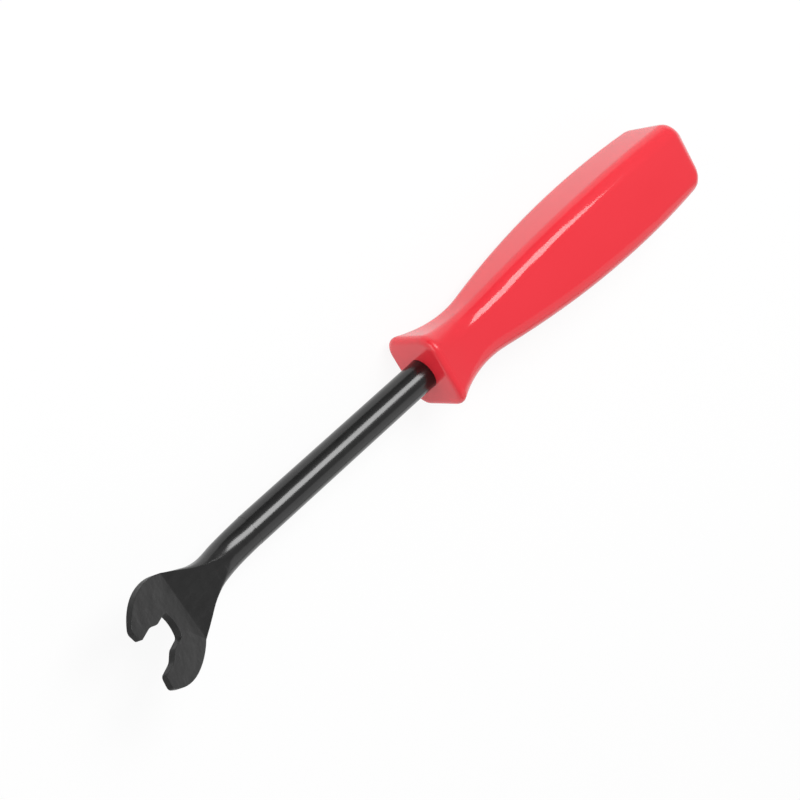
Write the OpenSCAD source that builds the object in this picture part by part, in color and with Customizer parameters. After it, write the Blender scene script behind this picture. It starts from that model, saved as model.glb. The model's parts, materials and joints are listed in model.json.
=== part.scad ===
// Trim removal tool: a forked steel lever with a square moulded handle.
// The tool is drawn along X, handle front face at zero and fork towards +X, and then laid down
// on its handle as it comes to rest on a bench.

/* [Handle] */
// Length of the handle, front face to butt
handle_len = 118; // [106:0.5:140]
// Width across flats of the collar at the front face
collar_w = 24.8; // [21:0.1:27]
// Width across flats at the throat behind the collar
throat_w = 17.3; // [15.5:0.1:18]
// Distance of the throat from the front face
throat_at = 19; // [15:0.1:25]
// Width across flats at the widest part of the belly
belly_w = 26.1; // [24:0.1:28]
// Distance of the widest part from the front face
belly_at = 84; // [76:1:92]
// Radius along the four long edges
edge_r = 5.4; // [3:0.1:6.5]
// Radius around the butt end
butt_r = 5.7; // [3:0.1:7]
// Radius around the front rim
rim_r = 2.7; // [0.6:0.1:3]

/* [Shaft] */
// Diameter of the round shaft
shaft_d = 9.5; // [8.5:0.1:10.5]
// Length of the round shaft in front of the handle
shaft_len = 70; // [50:1:110]
// Length of the tang inside the handle
tang_len = 80; // [50:1:95]
// Gap all round the tang in its bore
tang_gap = 0.05; // [0.03:0.01:0.2]

/* [Neck] */
// Length of the neck, from the round shaft to the bend line
neck_len = 29; // [25:0.5:36]
// Inside radius where the neck flares out
flare_r = 15.5; // [8:0.5:20]
// Length of the flat pressed into the top of the neck
flat_len = 17.5; // [14:0.5:20]
// Height of the start of the flat above the top of the shaft
flat_rise = 0.8; // [0.4:0.05:1.2]
// Height of the bend line above the axis of the shaft
bend_z = 7.6; // [6.5:0.1:9]

/* [Fork] */
// Angle of the fork to the axis of the shaft
fork_tilt = 34.5; // [25:0.5:42]
// Width of the fork over both tines
fork_w = 27.5; // [26:0.1:31]
// Distance of the widest part from the bend line
fork_mid = 10.4; // [9:0.1:12]
// Radius of the shoulders between bend line and widest part
shoulder_r = 21; // [17:0.5:26]
// Length of the fork, bend line to tips
fork_len = 21.5; // [20:0.1:23]
// Thickness of the fork at the bend line
fork_t = 2.3; // [1.8:0.1:3.2]
// Thickness of the tines at their tips
tip_t = 1.6; // [1:0.1:2.4]
// Width of the blunt end of each tine
tip_w = 3.7; // [2.6:0.1:4.4]
// Angle by which the blunt ends slope back towards the slot
tip_slant = 14; // [0:1:20]
// Outer corner radius of the tips
tip_r = 1.6; // [0.4:0.1:2]
// Inner corner radius of the tips
tip_in_r = 1.2; // [0.3:0.1:1.6]
// Width of the inner slot
slot_w = 8; // [6.5:0.1:9]
// Depth of the inner slot from the tips
slot_depth = 15; // [13:0.1:16.5]
// Corner radius at the closed end of the slot
slot_r = 1.2; // [0.6:0.1:2]
// Radius of the shallow curve that closes the slot
slot_end_r = 9; // [7:0.5:14]
// Width of the wider mouth of the slot
mouth_w = 11.1; // [9.6:0.1:12]
// Depth of the mouth from the tips
mouth_depth = 5.4; // [4.5:0.1:6.5]
// Length of the steps from mouth to inner slot
step_len = 4.4; // [3:0.1:5.5]

/* [Hidden] */

handle_colour = [0.87, 0.11, 0.13];
shaft_colour = [0.09, 0.09, 0.09];

// Number of faces round a corner of the handle, along its throat and belly, and round its ends
corner_faces = 9;
throat_faces = 12;
belly_faces = 16;
end_faces = 6;
// Number of faces round the neck and along it
neck_sides = 40;
neck_faces = 26;
// Degrees turned by each face of an arc of the fork's outline, and faces of a step in the slot
arc_step = 5;
step_faces = 10;
// Faces of the round shaft
round_fn = 64;
// How far cutting shapes reach past what they cut
past = 20;

shaft_r = shaft_d/2;

// The handle's profile: a hollow arc through collar and throat, and a full arc over the belly that
// meets it tangentially; radii and centre heights of both
belly_half = belly_w/2;
throat_half = throat_w/2;
collar_rise = (collar_w - throat_w)/2;
belly_rise = belly_half - throat_half;
throat_r = (throat_at*throat_at + collar_rise*collar_rise)/(2*collar_rise);
belly_r = (pow(belly_at - throat_at, 2) + belly_rise*belly_rise)/(2*belly_rise) - throat_r;
throat_c = throat_half + throat_r;
belly_c = belly_half - belly_r;
arcs_meet = belly_at - (belly_at - throat_at)*belly_r/(belly_r + throat_r);

// Half the width across flats at a distance s behind the front face
function handle_half(s) =
    s < arcs_meet
        ? throat_c - sqrt(throat_r*throat_r - pow(s - throat_at, 2))
        : belly_c + sqrt(belly_r*belly_r - pow(s - belly_at, 2));

// Stations behind the front face as [distance, inset]: rim, throat, belly, butt
rim_stations = [
    for (i = [0:end_faces])
        let (a = 90*i/end_faces)
        [rim_r*(1 - sin(a)), rim_r*(1 - cos(a))]
];
throat_stations = [
    for (i = [throat_faces - 1:-1:1])
        [rim_r + (arcs_meet - rim_r)*i/throat_faces, 0]
];
belly_stations = [
    for (i = [belly_faces - 1:-1:0])
        [arcs_meet + (handle_len - butt_r - arcs_meet)*i/belly_faces, 0]
];
butt_stations = [
    for (i = [end_faces:-1:0])
        let (a = 90*i/end_faces)
        [handle_len - butt_r*(1 - sin(a)), butt_r*(1 - cos(a))]
];
// Butt first, so that the rings run towards +X
handle_stations = concat(butt_stations, belly_stations, throat_stations, rim_stations);

// How the tool lies: tipped over its belly until the first edge of the rim touches the bench
rest_tilt = min([
    for (station = rim_stations)
        let (
            x = belly_at - station[0],
            z = belly_r - belly_half + handle_half(station[0]) - station[1]
        )
        atan2(x, z) - acos(belly_r/norm([x, z]))
]);
rest_lift = belly_r - belly_at*sin(rest_tilt) - (belly_r - belly_half)*cos(rest_tilt);

// Bend line, start of the pressed flat and end of the tines
bend_x = shaft_len + neck_len;
flat_x = bend_x - flat_len;
flat_z = shaft_r + flat_rise;
flat_slope = atan2(bend_z - flat_z, flat_len);
tip_x = bend_x + fork_len*cos(fork_tilt) + tip_t*sin(fork_tilt);
tip_z = bend_z + fork_len*sin(fork_tilt) - tip_t*cos(fork_tilt);
butt_half = handle_half(handle_len) - butt_r;
front_x = tip_x*cos(rest_tilt) + tip_z*sin(rest_tilt);
back_x = -handle_len*cos(rest_tilt) - butt_half*sin(rest_tilt);

// Outline of the fork: half its width and the angle of its sides at the bend line
bend_half = fork_w/2 - shoulder_r + sqrt(shoulder_r*shoulder_r - fork_mid*fork_mid);
flare_a = asin(fork_mid/shoulder_r);
// The neck's sides: distance from the bend line to the corner that flare_r rounds
flare_corner = (bend_half - shaft_r)/tan(flare_a);
flare_reach = flare_r*tan(flare_a/2);
// How the neck thins, squares up and leans along its length
thin_power = 1.3;
square_power = 2.2;
lean_power = 2;
// Superellipse power of the neck's section at the bend line, where 1 is round
bend_square = 0.3;
// Crown of the neck above the flat, which the flat cuts away: its greatest height and its slope
crown_max = 1;
crown_rise = 0.14;
// Length of the hollow ramp that leads from the shaft up to the crown, and how far the cut of the
// flat starts over it
ramp_len = 2*flat_rise/(tan(flat_slope) + crown_rise);
ramp_share = 0.3;
// How far the neck runs on inside the fork and inside the shaft, how much slimmer it is there, and
// the small step where the pieces of the forging run into each other
root_len = 0.8;
root_slim = 0.1;
seam = 0.04;
// Share of the neck in which the step at the shaft fades out
seam_share = 0.35;
// Tongue of the fork inside the neck
tongue_len = 1;
tongue_in = 1.5;

function smooth(f) = f <= 0 ? 0 : f >= 1 ? 1 : f*f*(3 - 2*f);
function signed_power(v, p) = sign(v)*pow(abs(v), p);
function arc(centre, r, from, to) =
    let (n = max(2, ceil(abs(to - from)/arc_step)))
    [for (i = [0:n]) let (a = from + (to - from)*i/n) centre + r*[cos(a), sin(a)]];

// Half width of the neck at a distance w behind the bend line
function neck_half(w) =
    w <= flare_corner - flare_reach*cos(flare_a)
        ? bend_half - w*tan(flare_a)
        : w >= flare_corner + flare_reach
            ? shaft_r
            : shaft_r + flare_r - sqrt(flare_r*flare_r - pow(flare_corner + flare_reach - w, 2));

// Heights along the neck: of the ramp and the flat, of the crown above the flat, and of the foot
function flat_height(x) =
    x < flat_x
        ? shaft_r + flat_rise*pow(max(0, 1 - (flat_x - x)/ramp_len), 2)
        : flat_z + (x - flat_x)*tan(flat_slope);
function crown_height(x) = min(crown_max, crown_rise*max(0, x - flat_x));
function foot_height(x) =
    (shaft_d - fork_t)*pow((x - shaft_len)/neck_len, thin_power) - shaft_r
    + max(0, x - flat_x)*(bend_z - shaft_r)/flat_len;

// Points of a rounded square, counter-clockwise seen from +X
function square_ring(x, half, r) = [
    for (corner = [0:3], i = [0:corner_faces])
        let (a = 90*(corner + i/corner_faces), c = half - r)
        [x, sign(cos(90*corner + 45))*c + r*cos(a), sign(sin(90*corner + 45))*c + r*sin(a)]
];

// Points of a superellipse whose top lies crown above and whose foot lies deep below a point of
// the flat, in a plane that leans back by the angle lean
function neck_ring(x, z, half, deep, crown, power, lean) = [
    for (i = [0:neck_sides - 1])
        let (
            a = 360*(i + 0.5)/neck_sides,
            h = (crown - deep)/2 + (crown + deep)/2*signed_power(sin(a), power)
        )
        [x - h*sin(lean), half*signed_power(cos(a), power), z + h*cos(lean)]
];

// The neck's ring at a distance v in front of the round shaft
function neck_station(v) =
    let (
        f = v/neck_len,
        x = shaft_len + v,
        z = flat_height(x),
        sunk = seam*(1 - smooth(f/seam_share))
    )
    neck_ring(
        x, z - sunk, neck_half(neck_len - v) - sunk,
        z - foot_height(x) - 2*sunk,
        crown_height(x),
        1 - (1 - bend_square)*pow(f, square_power),
        fork_tilt*pow(f, lean_power)
    );

// Skin over a list of rings that run towards +X
module loft(rings) {
    n = len(rings[0]);
    last = len(rings) - 1;
    sides = [
        for (i = [0:last - 1], j = [0:n - 1])
            let (k = (j + 1) % n)
            each [
                [(i + 1)*n + j, (i + 1)*n + k, i*n + k],
                [(i + 1)*n + j, i*n + k, i*n + j]
            ]
    ];
    back_cap = [for (j = [0:n - 1]) j];
    front_cap = [for (j = [n - 1:-1:0]) last*n + j];
    polyhedron([for (ring = rings) each ring], concat(sides, [back_cap, front_cap]));
}

// Lays the tool on the bench, with the origin below the middle of its box
module as_it_lies() {
    translate([-(front_x + back_x)/2, 0, rest_lift])
        rotate([0, rest_tilt, 0])
            children();
}

// A round bar along X
module bar(from, to, d) {
    translate([from, 0, 0])
        rotate([0, 90, 0])
            cylinder(h = to - from, d = d, $fn = round_fn);
}

// A profile drawn in X and Z, swept to both sides
module swept(profile, width) {
    rotate([90, 0, 0])
        linear_extrude(height = width, center = true)
            polygon(profile);
}

// Moulded handle with a blind bore for the tang
module handle() {
    color(handle_colour)
        as_it_lies()
            difference() {
                loft([
                    for (station = handle_stations)
                        let (full = handle_half(station[0]), half = full - station[1])
                        square_ring(-station[0], half, edge_r*half/full)
                ]);
                bar(-tang_len - tang_gap, past, shaft_d + 2*tang_gap);
            }
}

// One side of the fork's outline, from the bend line round the tine to the closed end of the slot
function fork_side() =
    let (
        half = fork_w/2,
        run = fork_len - fork_mid,
        drop = half - mouth_w/2 - tip_w,
        tine_r = (run*run + drop*drop)/(2*drop),
        tine_c = [fork_mid, half - tine_r],
        tip_rise = sqrt(pow(tine_r - tip_r, 2) - pow(run - tip_r, 2)),
        tip_c = [fork_len - tip_r, tine_c[1] + tip_rise],
        tip_a = atan2(tip_rise, run - tip_r),
        in_y = mouth_w/2 + tip_in_r,
        in_back = tip_in_r - tip_r + (tip_c[1] - in_y)*sin(tip_slant),
        in_c = [tip_c[0] - in_back/cos(tip_slant), in_y],
        step_at = fork_len - mouth_depth,
        end_c = fork_len - slot_depth + slot_end_r,
        corner_y = slot_w/2 - slot_r,
        corner_c = [end_c - sqrt(pow(slot_end_r - slot_r, 2) - pow(corner_y, 2)), corner_y],
        corner_a = atan2(corner_c[1], corner_c[0] - end_c)
    )
    concat(
        [[-tongue_len, bend_half - tongue_in]],
        arc([fork_mid, half - shoulder_r], shoulder_r, 90 + flare_a, 90),
        arc(tine_c, tine_r, 90 - arc_step, tip_a),
        arc(tip_c, tip_r, tip_a - arc_step, -tip_slant),
        arc(in_c, tip_in_r, -tip_slant, -90),
        [
            for (i = [0:step_faces])
                let (f = i/step_faces)
                [step_at - step_len*f, mouth_w/2 - (mouth_w - slot_w)/2*smooth(f)]
        ],
        arc(corner_c, slot_r, 90, corner_a),
        arc([end_c, 0], slot_end_r, corner_a + arc_step/2, 180)
    );

module fork_outline() {
    side = fork_side();
    polygon(concat(side, [for (i = [len(side) - 2:-1:0]) [side[i][0], -side[i][1]]]));
}

// Flat forked blade that thins towards its tips, left high on top for the pressed flats
module fork_blade() {
    thin = (fork_t - tip_t)/fork_len;
    translate([bend_x, 0, bend_z])
        rotate([0, -fork_tilt, 0])
            intersection() {
                translate([0, 0, -past])
                    linear_extrude(height = past + crown_max)
                        fork_outline();
                swept([
                    [-past, -fork_t - thin*past],
                    [fork_len + past, -tip_t + thin*past],
                    [fork_len + past, past],
                    [-past, past]
                ], 2*fork_w);
            }
}

// Forged neck from the round shaft to just inside the fork
module neck() {
    root_x = bend_x + root_len*cos(fork_tilt);
    root_z = bend_z + root_len*sin(fork_tilt);
    loft(concat(
        [neck_ring(shaft_len - root_len, shaft_r - seam, shaft_r - seam, shaft_d - 2*seam, 0, 1, 0)],
        [for (i = [0:neck_faces - 1]) neck_station(neck_len*i/neck_faces)],
        [
            neck_ring(
                bend_x, bend_z, bend_half + seam, fork_t + seam, crown_max, bend_square, fork_tilt
            )
        ],
        [
            neck_ring(
                root_x, root_z, bend_half - root_slim, fork_t - 2*root_slim, 0,
                bend_square, fork_tilt
            )
        ]
    ));
}

// Everything above the flat of the neck and the flat of the fork
module above_flats() {
    reach = fork_len + past;
    far = [bend_x + reach*cos(fork_tilt), bend_z + reach*sin(fork_tilt)];
    back = ramp_share*ramp_len;
    swept([
        [flat_x - back, flat_z - back*tan(flat_slope)],
        [bend_x, bend_z],
        far,
        [far[0], far[1] + past],
        [flat_x - back, far[1] + past]
    ], 2*fork_w);
}

// Forged shaft: tang, round shaft, neck and fork in one piece
module fork_shaft() {
    color(shaft_colour)
        as_it_lies()
            union() {
                bar(-tang_len, shaft_len, shaft_d);
                difference() {
                    union() {
                        neck();
                        fork_blade();
                    }
                    above_flats();
                }
            }
}

handle();
fork_shaft();
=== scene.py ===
"""Looks of the trim removal tool: red moulded handle and black coated steel fork on white."""

import json
import math

import bmesh
import bpy
from mathutils import Matrix, Vector


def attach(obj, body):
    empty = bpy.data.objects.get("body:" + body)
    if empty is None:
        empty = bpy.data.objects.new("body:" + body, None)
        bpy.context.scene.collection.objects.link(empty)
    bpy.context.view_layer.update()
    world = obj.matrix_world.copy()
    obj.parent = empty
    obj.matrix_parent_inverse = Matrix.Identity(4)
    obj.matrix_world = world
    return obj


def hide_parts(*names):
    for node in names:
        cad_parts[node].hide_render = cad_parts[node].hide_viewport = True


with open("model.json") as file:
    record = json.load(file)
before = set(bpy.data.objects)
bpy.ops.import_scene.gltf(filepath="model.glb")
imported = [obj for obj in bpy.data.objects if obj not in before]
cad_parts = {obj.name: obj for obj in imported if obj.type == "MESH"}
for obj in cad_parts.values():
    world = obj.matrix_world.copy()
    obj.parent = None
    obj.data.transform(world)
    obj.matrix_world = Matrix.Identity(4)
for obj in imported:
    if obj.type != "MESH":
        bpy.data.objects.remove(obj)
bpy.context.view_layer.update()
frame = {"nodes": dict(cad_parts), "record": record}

MM = 0.001

# Camera: place, direction of view and the picture's right, all in the frame, for a square picture
CAMERA_AT = Vector((0.2190, -0.1557, 0.3780))
CAMERA_FORWARD = Vector((-0.4624, 0.3487, -0.8152))
CAMERA_RIGHT = Vector((-0.6521, 0.4892, 0.5792))
SENSOR_MM = 36
FOCAL_MM = 72
NEAREST_SEEN = 10*MM

# Lamps: a softbox high on the handle's -Y side, and white panels on the tool's +Y side and in front of
# the fork; each radiance is that of the lit face
SOFTBOX_AT = Vector((-0.230, -0.305, 0.600))
SOFTBOX_SIZE = (0.42, 0.37)
SOFTBOX_TURN = math.radians(12)
SOFTBOX_RADIANCE = 7.6
SIDE_PANEL_AT = Vector((-0.225, 0.600, 0.535))
SIDE_PANEL_SIZE = (1.05, 0.87)
SIDE_PANEL_RADIANCE = 0.5
FRONT_PANEL_AT = Vector((0.800, -0.340, 0.300))
FRONT_PANEL_SIZE = (0.8, 0.6)
FRONT_PANEL_RADIANCE = 1.9

# World: a fill from all sides, weaker towards -Y and brighter along the horizon behind the handle
FILL = 0.42
FILL_WEAK = 0.16
HORIZON = 0.73
# Y components of the directions where the fill is weakest and where it is full again
FILL_WEAK_AT = -0.96
FILL_FULL_AT = -0.70
# X components of the directions where the bright horizon begins and is full, and the Z component of
# those where it ends
HORIZON_BEGIN = -0.55
HORIZON_FULL = -0.85
HORIZON_TOP = 0.30

FLOOR_SIDE = 60
FLOOR_WHITE = 0.93
# Share of plain white in the floor as the camera, reflections and glass see it; the rest keeps the
# shadow
FLOOR_GLOW = 0.9

# Facets that meet at less than this angle belong to one smooth surface
SMOOTH_ANGLE = math.radians(32)
WELD = 0.002*MM
# Greatest weight of the modifier, at which only the largest faces around a corner set its normal
LARGEST_FACES_ONLY = 100

# The fork: normal of its flat top, direction towards its tips, and the bend line it starts from, which
# lies behind the fork_face mount
MOUNT_AHEAD = 9*MM
fork_face = next(mount for mount in frame["record"]["mounts"] if mount["name"] == "fork_face")
FORK_NORMAL = Vector(fork_face["axis"])
FORK_ALONG = Vector((0, 1, 0)).cross(FORK_NORMAL)
FORK_START = Vector(fork_face["pos_m"]) - MOUNT_AHEAD*FORK_ALONG
# A face of the fork is one of its cut walls if its normal leans less than this towards the flat's
WALL_LEAN = 0.5

# Where along X the handle's rim, behind its flat front at about 0, begins to show wear and does so fully
RIM_BEGIN = -0.6*MM
RIM_FULL = -1.6*MM
# Behind the bend line, where the uneven skin of the forged head begins and is full
FORGED_BEGIN = FORK_START.x - 19.2*MM
FORGED_FULL = FORK_START.x - 4.2*MM
# Behind the bend line, where edges begin to be eased and are so fully, and where the soft lip of the
# neck's flat passes into the tighter edges of the fork, with the radius of each
EASE_BEGIN = FORK_START.x - 25.2*MM
EASE_FULL = FORK_START.x - 21.2*MM
LIP_BEGIN = FORK_START.x - 13.2*MM
LIP_END = FORK_START.x - 5.2*MM
LIP_RADIUS = 0.6*MM
EDGE_RADIUS = 0.25*MM


def smooth_copy(node, material):
    """A copy of a CAD node with its facets joined into smooth surfaces; it stands for the node."""
    welded = bmesh.new()
    welded.from_mesh(frame["nodes"][node].data)
    bmesh.ops.remove_doubles(welded, verts=welded.verts, dist=WELD)
    welded.verts.index_update()
    corners = [corner.co for corner in welded.verts]
    faces = [[corner.index for corner in face.verts] for face in welded.faces]
    mesh = bpy.data.meshes.new(node + "_skin")
    mesh.from_pydata(corners, [], faces)
    welded.free()
    mesh.materials.append(material)
    mesh.shade_smooth()
    mesh.set_sharp_from_angle(angle=SMOOTH_ANGLE)
    piece = bpy.data.objects.new(node + "_skin", mesh)
    bpy.context.scene.collection.objects.link(piece)
    weighted = piece.modifiers.new("even_normals", "WEIGHTED_NORMAL")
    weighted.keep_sharp = True
    weighted.weight = LARGEST_FACES_ONLY
    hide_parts(node)
    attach(piece, "root")
    return piece


def mark_walls(piece, material):
    """Gives the cut walls of the fork a material of their own."""
    mesh = piece.data
    wall_index = len(mesh.materials)
    mesh.materials.append(material)
    for face in mesh.polygons:
        ahead = (face.center - FORK_START).dot(FORK_ALONG)
        if ahead > 0 and abs(face.normal.dot(FORK_NORMAL)) < WALL_LEAN:
            face.material_index = wall_index


class Shader:
    """A material under construction, with short ways to add its nodes."""

    # Where most of a noise's values lie
    NOISE_LOW = 0.3
    NOISE_HIGH = 0.7
    # Rays by which the easing of edges and the mask of edges are found
    EASING_SAMPLES = 8
    EDGE_SAMPLES = 16
    # Openness within the solid, from just off a flat face down to a sharp edge
    EDGE_FLAT = 0.95
    EDGE_SHARP = 0.80

    def __init__(self, name):
        self.material = bpy.data.materials.new(name)
        self.material.use_nodes = True
        self.nodes = self.material.node_tree.nodes
        self.surface = self.nodes["Principled BSDF"]
        self.place = self.add("ShaderNodeTexCoord").outputs["Object"]

    def add(self, kind, **settings):
        """A new node of a kind, with its settings."""
        node = self.nodes.new(kind)
        for name, value in settings.items():
            setattr(node, name, value)
        return node

    def join(self, output, socket):
        """Links an output to an input socket."""
        self.material.node_tree.links.new(output, socket)

    def noise(self, scale, detail, stretch=(1, 1, 1)):
        """Noise with features of about 1/scale metres, drawn out along an axis by a smaller stretch."""
        mapping = self.add("ShaderNodeMapping")
        mapping.inputs["Scale"].default_value = stretch
        self.join(self.place, mapping.inputs["Vector"])
        noise = self.add("ShaderNodeTexNoise")
        noise.inputs["Scale"].default_value = scale
        noise.inputs["Detail"].default_value = detail
        self.join(mapping.outputs["Vector"], noise.inputs["Vector"])
        return noise.outputs["Fac"]

    def between(self, value, low, high, start=NOISE_LOW, end=NOISE_HIGH):
        """Maps start to end of a value onto low to high."""
        span = self.add("ShaderNodeMapRange")
        span.inputs["From Min"].default_value = start
        span.inputs["From Max"].default_value = end
        span.inputs["To Min"].default_value = low
        span.inputs["To Max"].default_value = high
        self.join(value, span.inputs["Value"])
        return span.outputs["Result"]

    def combine(self, operation, first, second):
        """Sum, product or the like of two sockets."""
        node = self.add("ShaderNodeMath", operation=operation)
        self.join(first, node.inputs[0])
        self.join(second, node.inputs[1])
        return node.outputs[0]

    def along(self, start, end):
        """Mask that rises from 0 to 1 between two X places in metres."""
        parts = self.add("ShaderNodeSeparateXYZ")
        self.join(self.place, parts.inputs[0])
        return self.between(parts.outputs["X"], 0, 1, start, end)

    def mottled(self, pattern, first, second):
        """Colour that goes from one to another with a noise."""
        mix = self.add("ShaderNodeMix", data_type="RGBA")
        self.join(self.between(pattern, 0, 1), mix.inputs["Factor"])
        for name, colour in (("A", first), ("B", second)):
            socket = next(entry for entry in mix.inputs if entry.name == name and entry.type == "RGBA")
            socket.default_value = (*colour, 1.0)
        return next(entry for entry in mix.outputs if entry.type == "RGBA")

    def bump(self, height, depth, normal=None):
        """Normals of a height map that is depth metres deep, on top of other normals if given."""
        bump = self.add("ShaderNodeBump")
        bump.inputs["Distance"].default_value = depth
        self.join(height, bump.inputs["Height"])
        if normal is not None:
            self.join(normal, bump.inputs["Normal"])
        return bump.outputs["Normal"]

    def eased(self, radius):
        """Normals that round the edges off with a radius in metres."""
        bevel = self.add("ShaderNodeBevel", samples=self.EASING_SAMPLES)
        self.join(radius, bevel.inputs["Radius"])
        return bevel.outputs["Normal"]

    def edges(self, reach, share):
        """Mask of the convex edges within a reach in metres, up to share where they are sharpest."""
        inner = self.add(
            "ShaderNodeAmbientOcclusion", samples=self.EDGE_SAMPLES, inside=True, only_local=True
        )
        inner.inputs["Distance"].default_value = reach
        return self.between(inner.outputs["AO"], 0, share, self.EDGE_FLAT, self.EDGE_SHARP)

    def set(self, **sockets):
        """Sets inputs of the surface to numbers, or links sockets to them."""
        for name, value in sockets.items():
            socket = self.surface.inputs[name.replace("_", " ")]
            if isinstance(value, (int, float)):
                socket.default_value = value
            else:
                self.join(value, socket)


def red_plastic():
    """Glossy injection-moulded red with faint flow clouds, handling scuffs and worn rims."""
    deep_red = (0.775, 0.027, 0.041)
    pale_red = (0.805, 0.033, 0.050)
    shader = Shader("red_moulded_plastic")
    clouds = shader.noise(scale=30, detail=4, stretch=(0.4, 1, 1))
    scuffs = shader.noise(scale=260, detail=5, stretch=(0.25, 1, 1))
    skin = shader.noise(scale=1400, detail=2)
    scuffed = shader.between(scuffs, low=0.09, high=0.15)
    rims = shader.edges(reach=2*MM, share=0.5)
    worn = shader.combine("MULTIPLY", rims, shader.along(RIM_BEGIN, RIM_FULL))
    shader.set(
        Base_Color=shader.mottled(clouds, deep_red, pale_red),
        Roughness=shader.combine("ADD", scuffed, worn),
        IOR=1.5,
        Normal=shader.bump(skin, depth=0.004*MM),
    )
    return shader.material


def black_coating():
    """Black coating over steel: lengthwise streaks, an uneven forged head and eased edges."""
    deep_black = (0.004, 0.004, 0.004)
    pale_black = (0.008, 0.008, 0.008)
    shader = Shader("black_coated_steel")
    lip = shader.between(shader.along(LIP_BEGIN, LIP_END), LIP_RADIUS, EDGE_RADIUS, 0, 1)
    rounding = shader.combine("MULTIPLY", lip, shader.along(EASE_BEGIN, EASE_FULL))
    streaks = shader.noise(scale=900, detail=4, stretch=(0.03, 1, 1))
    specks = shader.noise(scale=420, detail=3)
    dents = shader.noise(scale=240, detail=2)
    forged = shader.combine("MULTIPLY", dents, shader.along(FORGED_BEGIN, FORGED_FULL))
    streaked = shader.bump(streaks, depth=0.002*MM, normal=shader.eased(rounding))
    speckled = shader.bump(specks, depth=0.004*MM, normal=streaked)
    shader.set(
        Base_Color=shader.mottled(specks, deep_black, pale_black),
        Roughness=shader.between(streaks, low=0.15, high=0.23),
        IOR=1.6,
        Normal=shader.bump(forged, depth=0.12*MM, normal=speckled),
    )
    return shader.material


def dull_walls():
    """The same coating on the cut walls of the fork, rougher and reflecting less, so that the walls
    render darker.
    """
    deep_black = (0.004, 0.004, 0.004)
    pale_black = (0.012, 0.012, 0.012)
    shader = Shader("black_cut_walls")
    torn = shader.noise(scale=700, detail=4)
    shader.set(
        Base_Color=shader.mottled(torn, deep_black, pale_black),
        Roughness=shader.between(torn, low=0.35, high=0.55),
        IOR=1.5,
        Specular_IOR_Level=0.25,
        Normal=shader.bump(torn, depth=0.02*MM),
    )
    return shader.material


def floor_paint():
    """Dull white, mixed with plain white as the camera, reflections and glass see it."""
    shader = Shader("floor_white")
    shader.set(Roughness=1.0, Specular_IOR_Level=0.0)
    shader.surface.inputs["Base Color"].default_value = (FLOOR_WHITE, FLOOR_WHITE, FLOOR_WHITE, 1.0)
    white = shader.add("ShaderNodeEmission")
    seen = shader.add("ShaderNodeLightPath").outputs
    mirrored = shader.combine("ADD", seen["Is Glossy Ray"], seen["Is Transmission Ray"])
    direct = shader.combine("ADD", seen["Is Camera Ray"], mirrored)
    blend = shader.add("ShaderNodeMixShader")
    shader.join(shader.between(direct, low=0, high=FLOOR_GLOW, start=0, end=1), blend.inputs[0])
    shader.join(shader.surface.outputs[0], blend.inputs[1])
    shader.join(white.outputs[0], blend.inputs[2])
    shader.join(blend.outputs[0], shader.nodes["Material Output"].inputs["Surface"])
    return shader.material


def white_floor():
    """Large plain floor under the tool, which takes its shadow and is white elsewhere."""
    half = FLOOR_SIDE/2
    corners = [(-half, -half, 0), (half, -half, 0), (half, half, 0), (-half, half, 0)]
    mesh = bpy.data.meshes.new("floor")
    mesh.from_pydata(corners, [], [range(len(corners))])
    mesh.materials.append(floor_paint())
    floor = bpy.data.objects.new("floor", mesh)
    bpy.context.scene.collection.objects.link(floor)


def area_light(name, at, towards, size, turn, radiance):
    """A rectangular light whose face has the given radiance; the camera doesn't see it."""
    lamp = bpy.data.lights.new(name, "AREA")
    lamp.shape = "RECTANGLE"
    lamp.size, lamp.size_y = size
    lamp.energy = radiance*math.pi*lamp.size*lamp.size_y
    holder = bpy.data.objects.new(name, lamp)
    aim = (at - towards).to_track_quat("Z", "Y").to_matrix().to_4x4()
    holder.matrix_world = Matrix.Translation(at) @ aim @ Matrix.Rotation(turn, 4, "Z")
    holder.visible_camera = False
    bpy.context.scene.collection.objects.link(holder)


def lamps():
    """Softbox that shines down, side panel that shines across the tool, front panel towards it."""
    below = SOFTBOX_AT - Vector((0, 0, 1))
    area_light("softbox", SOFTBOX_AT, below, SOFTBOX_SIZE, SOFTBOX_TURN, SOFTBOX_RADIANCE)
    across = SIDE_PANEL_AT - Vector((0, 1, 0))
    area_light("side_panel", SIDE_PANEL_AT, across, SIDE_PANEL_SIZE, 0, SIDE_PANEL_RADIANCE)
    area_light("front_panel", FRONT_PANEL_AT, Vector(), FRONT_PANEL_SIZE, 0, FRONT_PANEL_RADIANCE)


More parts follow.
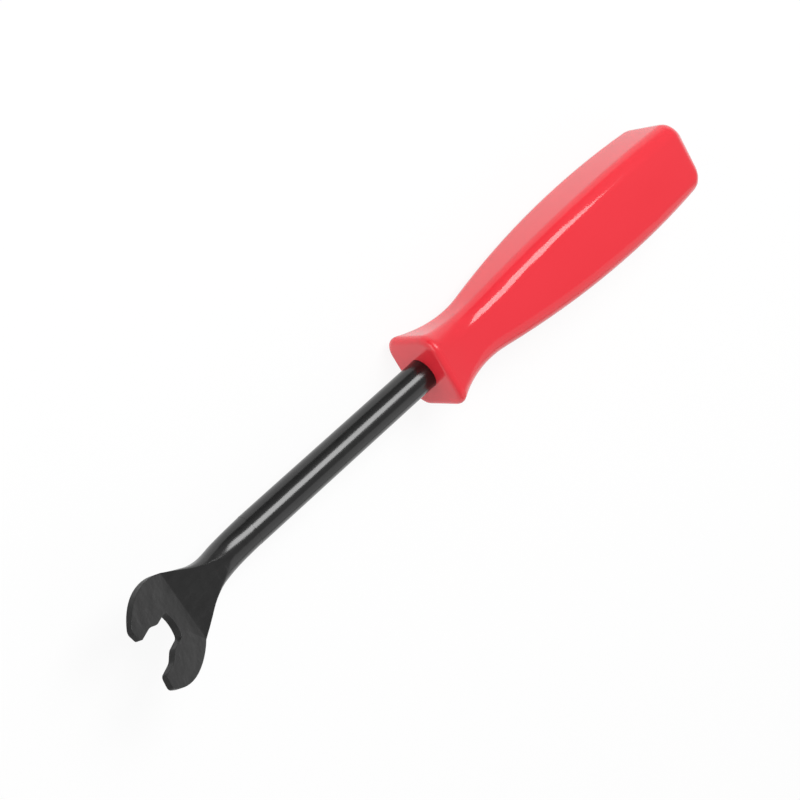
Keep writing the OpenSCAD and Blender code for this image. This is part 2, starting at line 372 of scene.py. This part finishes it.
def ramp(tree, value, start, end, low, high):
    """Smooth step of a value from low to high, either of which may be a socket."""
    step = tree.nodes.new("ShaderNodeMapRange")
    step.interpolation_type = "SMOOTHSTEP"
    step.inputs["From Min"].default_value = start
    step.inputs["From Max"].default_value = end
    for name, level in (("To Min", low), ("To Max", high)):
        if isinstance(level, (int, float)):
            step.inputs[name].default_value = level
        else:
            tree.links.new(level, step.inputs[name])
    tree.links.new(value, step.inputs["Value"])
    return step.outputs["Result"]


def surroundings():
    """The world as fill, weaker on one side and brighter along a stretch of the horizon."""
    world = bpy.data.worlds.new("studio")
    world.use_nodes = True
    tree = world.node_tree
    glow = tree.nodes["Background"].inputs
    glow["Color"].default_value = (1, 1, 1, 1)
    towards = tree.nodes.new("ShaderNodeSeparateXYZ")
    tree.links.new(tree.nodes.new("ShaderNodeTexCoord").outputs["Generated"], towards.inputs[0])
    fill = ramp(tree, towards.outputs["Y"], FILL_WEAK_AT, FILL_FULL_AT, FILL_WEAK, FILL)
    horizon = ramp(tree, towards.outputs["X"], HORIZON_BEGIN, HORIZON_FULL, fill, HORIZON)
    level = ramp(tree, towards.outputs["Z"], 0, HORIZON_TOP, horizon, fill)
    tree.links.new(level, glow["Strength"])
    bpy.context.scene.world = world


def camera():
    """Camera at the photograph's viewing angle."""
    lens = bpy.data.cameras.new("camera")
    lens.sensor_width = SENSOR_MM
    lens.lens = FOCAL_MM
    lens.clip_start = NEAREST_SEEN
    holder = bpy.data.objects.new("camera", lens)
    back = -CAMERA_FORWARD.normalized()
    up = back.cross(CAMERA_RIGHT).normalized()
    right = up.cross(back)
    axes = Matrix((right, up, back)).transposed()
    holder.matrix_world = Matrix.Translation(CAMERA_AT) @ axes.to_4x4()
    bpy.context.scene.collection.objects.link(holder)
    bpy.context.scene.camera = holder


smooth_copy("handle", red_plastic())
shaft = smooth_copy("fork_shaft", black_coating())
mark_walls(shaft, dull_walls())
white_floor()
lamps()
surroundings()
camera()
bpy.context.scene.view_settings.view_transform = "Standard"
